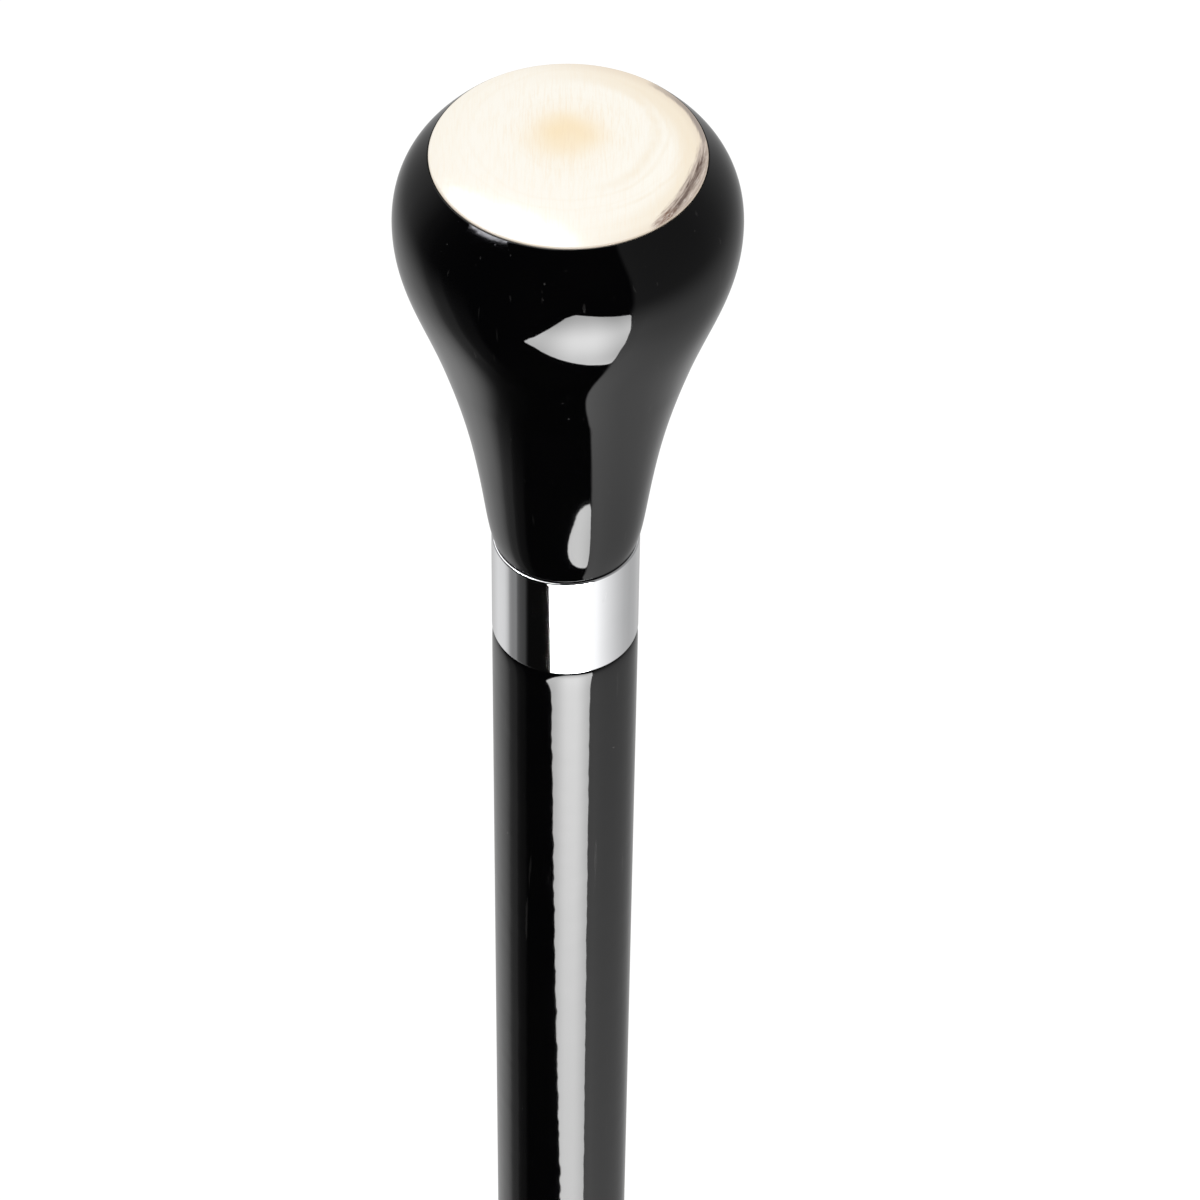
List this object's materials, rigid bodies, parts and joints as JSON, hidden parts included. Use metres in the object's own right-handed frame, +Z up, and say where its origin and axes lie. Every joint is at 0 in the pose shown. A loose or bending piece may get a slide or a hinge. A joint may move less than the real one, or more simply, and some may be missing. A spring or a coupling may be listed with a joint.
{
  "type": "dress cane",
  "caption": "Straight walking stick with a turned black knob handle, a pale disc let into its crown, a chrome collar, a tapered black shaft and a pull-off rubber foot.",
  "frame": {"origin": "middle of the rubber foot's ground face", "axes": "+Z up along the cane to the knob; the cane is round, so +X and +Y are free"},
  "size_m": [0.0424, 0.0424, 0.915],
  "materials": {
    "crown_disc": "polished",
    "knob_lacquer": "polished",
    "shaft_lacquer": "polished",
    "collar_chrome": "polished",
    "insert_brass": "satin",
    "stud_steel": "satin",
    "foot_rubber": "matte",
    "washer_steel": "satin"
  },
  "bodies": {
    "cane": {"shaft": "shaft_lacquer", "collar": "collar_chrome", "joining_stud": "stud_steel", "knob_insert": "insert_brass", "knob": "knob_lacquer", "crown_disc": "crown_disc"},
    "foot": {"ferrule": "foot_rubber", "ferrule_washer": "washer_steel"}
  },
  "joints": [
    {"name": "ferrule_pull", "type": "slide", "parent": "cane", "child": "foot", "axis": [0, 0, -1], "range_m": [0, 0.028]}
  ]
}
